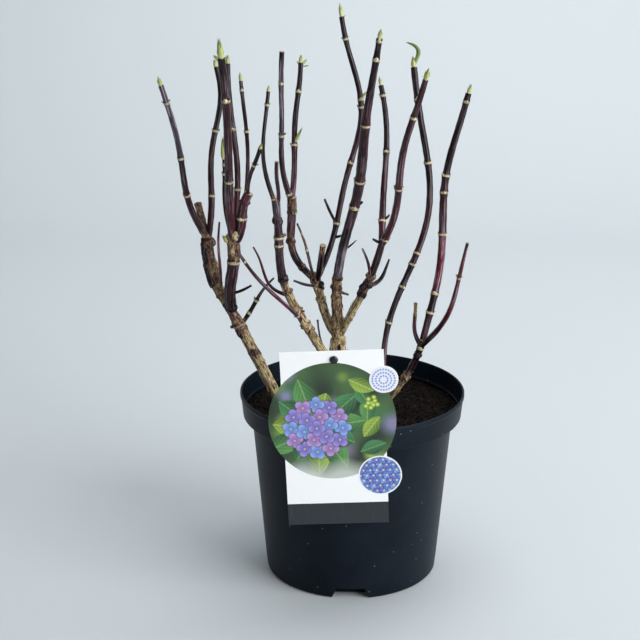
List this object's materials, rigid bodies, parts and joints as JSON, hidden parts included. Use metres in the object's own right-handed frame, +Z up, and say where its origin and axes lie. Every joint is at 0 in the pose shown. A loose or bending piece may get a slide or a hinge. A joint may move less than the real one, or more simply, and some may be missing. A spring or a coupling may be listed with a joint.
{
  "type": "potted hydrangea shrub",
  "caption": "Potted hydrangea in late winter: old wood stems, bare dark shoots with pale rings and green end buds, in a round nursery pot with a label card.",
  "frame": {"origin": "centre of the pot's flat underside, on the surface that it stands on", "axes": "+Z up, +X to the right and +Y to the back as the label card faces the viewer"},
  "size_m": [0.3009, 0.2617, 0.579],
  "materials": {
    "old_bark": "matte",
    "dark_bark": "matte",
    "young_shoot": "satin",
    "crimson_twig": "satin",
    "pot_plastic": "satin",
    "potting_soil": "matte",
    "label_card": "satin",
    "peg_plastic": "satin"
  },
  "bodies": {
    "root": {"left_stem": "old_bark", "left_bough_inner": "young_shoot", "left_bough_outer": "dark_bark", "left_shoot_far": "young_shoot", "left_stub_far": "old_bark", "left_shoot_rear": "young_shoot", "left_shoot_front": "young_shoot", "left_stub_near": "young_shoot", "left_shoot_middle": "young_shoot", "left_shoot_bud": "young_shoot", "left_shoot_high": "young_shoot", "left_shoot_low": "young_shoot", "left_twig_crimson": "crimson_twig", "left_twig_side": "crimson_twig", "trunk": "old_bark", "middle_bough_left": "dark_bark", "middle_bough_fork": "old_bark", "middle_bough_right": "dark_bark", "middle_shoot_front": "young_shoot", "middle_shoot_thin": "young_shoot", "middle_stub_thin": "dark_bark", "middle_bough_inner": "crimson_twig", "middle_shoot_cut": "young_shoot", "middle_shoot_rear": "young_shoot", "middle_shoot_tall": "young_shoot", "middle_stub_fork": "old_bark", "middle_twig_scaly": "dark_bark", "middle_shoot_upright": "young_shoot", "middle_shoot_leaning": "young_shoot", "middle_twig_upper": "crimson_twig", "middle_twig_lower": "dark_bark", "red_twig_long": "crimson_twig", "red_twig_short": "crimson_twig", "trunk_twig": "dark_bark", "rear_stem": "young_shoot", "right_stem": "old_bark", "right_shoot_outer": "young_shoot", "right_shoot_crimson": "crimson_twig", "right_stub": "old_bark", "pot": "pot_plastic", "soil": "potting_soil", "card": "label_card", "card_peg": "peg_plastic"}
  },
  "joints": []
}
